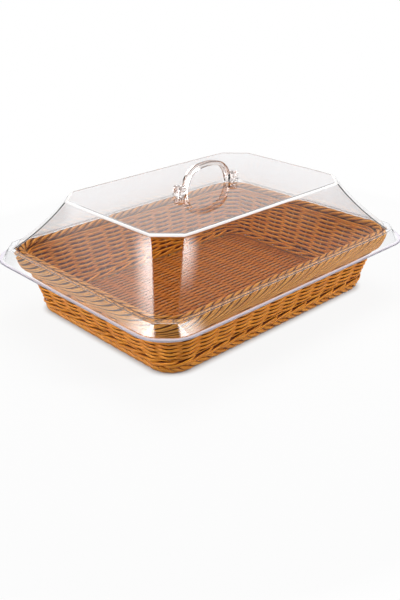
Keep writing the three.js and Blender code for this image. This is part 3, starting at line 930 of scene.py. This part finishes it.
def archBar():
    half = handle["half"]
    path = [(-x, z) for x, z in half] + [(0, handle["height"])] + [(x, z) for x, z in half[::-1]]
    curve = smoothPath(path, 90)
    run = np.gradient(curve, axis=0)
    run[0], run[-1] = (0, 1), (0, -1)
    run = unit(run)
    sides = 28
    cos, sin = np.cos(circle(sides)), np.sin(circle(sides))
    u = np.sign(cos) * np.abs(cos) ** handle["squareness"] * handle["thick"] / 2
    v = np.sign(sin) * np.abs(sin) ** handle["squareness"] * handle["deep"] / 2
    normal = np.stack([run[:, 1], -run[:, 0]], 1)
    x = curve[:, :1] + normal[:, :1] * u
    z = handle["foot"] + curve[:, 1:] + normal[:, 1:] * u
    points = np.stack([x, np.broadcast_to(v, x.shape), z], -1).reshape(-1, 3)
    faces = wrap(len(curve), sides).tolist()
    faces.append(list(range(sides))[::-1])
    faces.append([(len(curve) - 1) * sides + k for k in range(sides)])
    return addPiece("clearHandle", points, faces, handlePlastic)


# A rounded edge of a turned body, as radius and height, from its side to its top.
def roundedEdge(radius, top, bend, degrees):
    return [(radius - bend + bend * math.cos(t), top - bend + bend * math.sin(t))
            for t in np.radians(degrees)]


def bossProfile():
    h, foot = handle, handle["foot"]
    plateTop, bossTop = foot + h["plateHeight"], foot + h["bossHeight"]
    plate = [(h["plateRadius"] - h["plateFoot"], foot), (h["plateRadius"], foot + h["plateFoot"])]
    plate += roundedEdge(h["plateRadius"], plateTop, h["plateRound"], [0, 30, 60, 90])
    neck = [(h["bossRadius"] + h["neck"][0], plateTop), (h["bossRadius"], plateTop + h["neck"][1])]
    crown = roundedEdge(h["bossRadius"], bossTop, h["bossRound"], [0, 22, 45, 67, 90])
    return [(0, foot)] + plate + neck + crown + [(0, bossTop)]


def clearHandle():
    bosses = [turned("boss", bossProfile(), side * handle["bossX"], handlePlastic) for side in (-1, 1)]
    body = booleans(archBar(), bosses, "UNION")
    foot = handle["foot"]
    bore = [(0, foot - 1), (handle["boreRadius"], foot - 1),
            (handle["boreRadius"], foot + handle["boreHeight"]),
            (0, foot + handle["boreHeight"] + handle["boreTip"])]
    drills = [turned("drill", bore, side * handle["bossX"], handlePlastic, 28) for side in (-1, 1)]
    return sharpen(booleans(body, drills, "DIFFERENCE"), handle["sharpFrom"])


def screwPiece(name, node, side):
    low, high = boxOf(node)
    f = fastener
    x, headTop, tip = side * handle["bossX"], low[2] + f["headHeight"], high[2]
    # the domed head, downward side first, then the thread and the point
    line = [(0, low[2])] + [(f["headRadius"] * share, low[2] + rise) for share, rise in f["dome"]]
    line += [(f["headRadius"], headTop - f["headEdge"]), (f["headRadius"] - f["headEdge"], headTop),
             (f["shank"], headTop)]
    for k in range(int((tip - headTop - 0.4) / f["threadPitch"])):
        z = headTop + f["threadFrom"] + k * f["threadPitch"]
        line += [(f["threadRoot"], z), (f["threadCrest"], z + f["threadPitch"] * 0.4),
                 (f["threadCrest"], z + f["threadPitch"] * 0.5)]
    line += [(radius, tip - down) for radius, down in f["point"]] + [(0, tip)]
    body = turned(name, line, x, steel, 40)
    slots = []  # the two arms of the cross
    for long, wide in ((f["slotLong"], f["slotWide"]), (f["slotWide"], f["slotLong"])):
        corners = [[x + i * long / 2, j * wide / 2, low[2] + k]
                   for k in (-0.5, f["slotDeep"]) for j in (-1, 1) for i in (-1, 1)]
        cube = [[0, 2, 3, 1], [4, 5, 7, 6], [0, 1, 5, 4], [2, 6, 7, 3], [0, 4, 6, 2], [1, 3, 7, 5]]
        slots.append(addPiece("slot", corners, cube, steel, smooth=False))
    return sharpen(booleans(body, slots, "DIFFERENCE"), f["sharpFrom"])


def washerPiece(name, node, side):
    low, high = (corner[2] for corner in boxOf(node))
    f = fastener
    hole, rim, edge, sides = f["washerHoleRadius"], f["washerRadius"], f["washerEdge"], 48
    line = [(hole, low), (rim - edge, low), (rim, low + edge),
            (rim, high - edge), (rim - edge, high), (hole, high)]
    points = turnedRings(line, side * handle["bossX"], sides)
    faces = wrap(len(line), sides, closed=True).tolist()
    return sharpen(addPiece(name, points, faces, nylon), f["sharpFrom"])


shell = coverShell()
holeLine = [(0, 140), (handle["boreRadius"], 140), (handle["boreRadius"], 150), (0, 150)]
holes = [turned("hole", holeLine, side * handle["bossX"], coverPlastic, 28) for side in (-1, 1)]
settle(sharpen(booleans(shell, holes, "DIFFERENCE"), cover["sharpFrom"]), ["cover"], "lid")
settle(clearHandle(), ["handle"], "lid")
for side, word in ((-1, "left"), (1, "right")):
    for kind, make, slot in (("screw", screwPiece, "screw_steel"), ("washer", washerPiece, "washer_nylon")):
        node = f"handle_{kind}_{word}"
        settle(make(kind + word.capitalize(), node, side), [node], "lid")
print("cover and handle done")


# Stage

stage = {
    "floorHalf": 6.0, "floorColour": (0.62, 0.62, 0.62), "floorGrain": (0.65, 0.65, 0.65),
    "footHalf": (0.145, 0.095),  # of the basket's foot, on the floor
    "liftFrom": 0.024, "liftWidth": 0.014, "floorLift": 0.9,  # the floor goes white this far from the foot
    "whiteFrom": 0.12, "whiteTo": 0.4,
    "ambient": 0.26, "upperFront": (0.0, -0.75, 0.66), "frontEdge": (0.45, 0.75), "frontLevel": 0.06,
    "horizon": (0.1, 0.28), "darkest": 0.03,
    "shineThrough": 0.05,  # share of a panel's glow that shows through the clear parts
}

# Panels that only show as reflections: direction in degrees, half sizes, soft edge, brightness.
glowPanels = [
    {"azimuth": 169, "height": 25, "wide": 0.26, "tall": 0.2, "soft": 0.5, "glow": 13.0},
    {"azimuth": -77, "height": 27, "wide": 0.2, "tall": 0.1, "soft": 0.3, "glow": 13.0},
    {"azimuth": 141, "height": 25, "wide": 0.1, "tall": 0.5, "soft": 0.4, "glow": 0.6},
    {"azimuth": -46, "height": 25, "wide": 0.3, "tall": 0.5, "soft": 0.3, "glow": 0.3},
]
# Panels that darken what shows through the clear edges.
darkPanels = [
    {"azimuth": 110, "height": 6, "wide": 0.14, "tall": 0.32, "soft": 0.14, "glow": -0.9},
    {"azimuth": -20, "height": 6, "wide": 0.14, "tall": 0.32, "soft": 0.14, "glow": -0.9},
]


def stageFloor():
    material, flow = newMaterial("paleFloor")
    place = flow.add("TexCoord", output="Object")
    grain = flow.add("TexNoise", {"Vector": place, "Scale": 4.0})
    colour = grain.mix(rgba(stage["floorColour"]), rgba(stage["floorGrain"]))
    matte = flow.add("BsdfDiffuse", {"Color": colour})
    glow = flow.add("Emission", {"Color": white, "Strength": 1.0})
    # Distance from the foot of the basket, so that only the open floor is lifted to white.
    over = [flow.maths("MAXIMUM", flow.maths("ABSOLUTE", place.part(axis)) - half, 0.0)
            for axis, half in enumerate(stage["footHalf"])]
    away = flow.maths("SQRT", over[0] * over[0] + over[1] * over[1])
    near = away.ease(stage["liftFrom"], stage["liftFrom"] + stage["liftWidth"], 0.0, stage["floorLift"])
    far = away.ease(stage["whiteFrom"], stage["whiteTo"])
    camera, glossy, clear = (flow.ray(kind) for kind in ("Camera", "Glossy", "Transmission"))
    direct = camera + glossy
    share = flow.maths("MINIMUM", flow.maths("MAXIMUM", direct * near, (direct + clear) * far), 1.0)
    both = flow.add("MixShader", {0: share, 1: matte, 2: glow})
    both.show()
    half = stage["floorHalf"] / mm
    corners = [[-half, -half, 0], [half, -half, 0], [half, half, 0], [-half, half, 0]]
    addPiece("stageFloor", corners, [[0, 1, 2, 3]], material, smooth=False)


def stageWorld():
    world = bpy.data.worlds.new("studio")
    bpy.context.scene.world = world
    world.use_nodes = True
    world.node_tree.nodes.clear()
    flow = Flow(world.node_tree)
    place = flow.add("TexCoord", output="Generated")
    toward = Vector(stage["upperFront"]).normalized()

    def along(direction):
        return flow.add("VectorMath", {0: place, 1: tuple(direction)}, "Value", operation="DOT_PRODUCT")

    level = along(toward).ease(*stage["frontEdge"], 1.0, stage["frontLevel"])
    level = place.part(2).ease(*stage["horizon"]).mix(white, level)

    # Brightness of a panel in every direction.
    def shown(panel):
        az, el = math.radians(panel["azimuth"]), math.radians(panel["height"])
        forward = (math.cos(az) * math.cos(el), math.sin(az) * math.cos(el), math.sin(el))
        aside = (-math.sin(az), math.cos(az), 0.0)
        above = Vector(forward).cross(Vector(aside))
        front = along(forward)
        safe = flow.maths("MAXIMUM", front, 0.05)
        mask = front.ease(0.05, 0.2)
        for direction, half in ((aside, panel["wide"]), (above, panel["tall"])):
            offset = flow.maths("ABSOLUTE", flow.maths("DIVIDE", along(direction), safe))
            mask = mask * offset.ease(half, half + panel["soft"], 1.0, 0.0)
        return mask * panel["glow"]

    level = sum(map(shown, darkPanels), level)
    level = flow.maths("MAXIMUM", level, stage["darkest"])
    shine = sum(map(shown, glowPanels[1:]), shown(glowPanels[0]))
    camera, glossy, clear = (flow.ray(kind) for kind in ("Camera", "Glossy", "Transmission"))
    mirrored = flow.maths("MAXIMUM", glossy, clear)
    strength = stage["ambient"] + mirrored * (level - stage["ambient"])
    strength = strength + shine * (glossy + clear * stage["shineThrough"])
    strength = flow.maths("MAXIMUM", strength, camera)
    glow = flow.add("Background", {"Color": white, "Strength": strength})
    glow.show("World")


# Softboxes: direction from the basket, distance, size, brightness of the face.
lamps = {
    "leftSoftbox": {"toward": (-0.80, 0.15, 0.60), "distance": 1.4, "size": (0.30, 0.62), "glow": 12.5},
    "topSoftbox": {"toward": (0.30, 0.30, 0.90), "distance": 1.4, "size": (0.9, 0.9), "glow": 5.5},
    "frontFill": {"toward": (0.42, -0.72, 0.62), "distance": 1.5, "size": (0.26, 0.5), "glow": 24.0},
}


def addLamps():
    for name, lamp in lamps.items():
        light = bpy.data.lights.new(name, "AREA")
        light.shape = "RECTANGLE"
        light.size, light.size_y = lamp["size"]
        light.energy = lamp["glow"] * math.pi * light.size * light.size_y
        place = Vector(lamp["toward"]).normalized() * lamp["distance"]
        thing = link(bpy.data.objects.new(name, light))
        thing.location = place
        thing.rotation_euler = (-place).to_track_quat("-Z", "Y").to_euler()
        thing.visible_camera = thing.visible_glossy = thing.visible_transmission = False


def addCamera():
    # Fitted to the rim, foot, lip and flat top in the photograph, for a frame of 400 by 600.
    view = {"azimuth": -44.15, "elevation": 22.32, "distance": 1.00346, "target": (0, 0, 0.06),
            "focal": 788.05, "centre": (206.34, 251.78), "frame": (400, 600)}
    az, el = math.radians(view["azimuth"]), math.radians(view["elevation"])
    back = Vector((math.sin(az) * math.cos(el), -math.cos(az) * math.cos(el), math.sin(el)))
    data = bpy.data.cameras.new("camera")
    wide, tall = view["frame"]
    data.sensor_width = 36
    data.lens = view["focal"] * data.sensor_width / tall
    data.shift_x = (wide / 2 - view["centre"][0]) / tall
    data.shift_y = (view["centre"][1] - tall / 2) / tall
    data.clip_start = 0.01
    camera = link(bpy.data.objects.new("camera", data))
    camera.location = Vector(view["target"]) + back * view["distance"]
    camera.rotation_mode = "QUATERNION"
    camera.rotation_quaternion = (-back).to_track_quat("-Z", "Y")
    bpy.context.scene.camera = camera


stageFloor()
stageWorld()
addLamps()
addCamera()
bpy.context.scene.view_settings.view_transform = "Standard"
print("stage done")

bpy.context.view_layer.update()
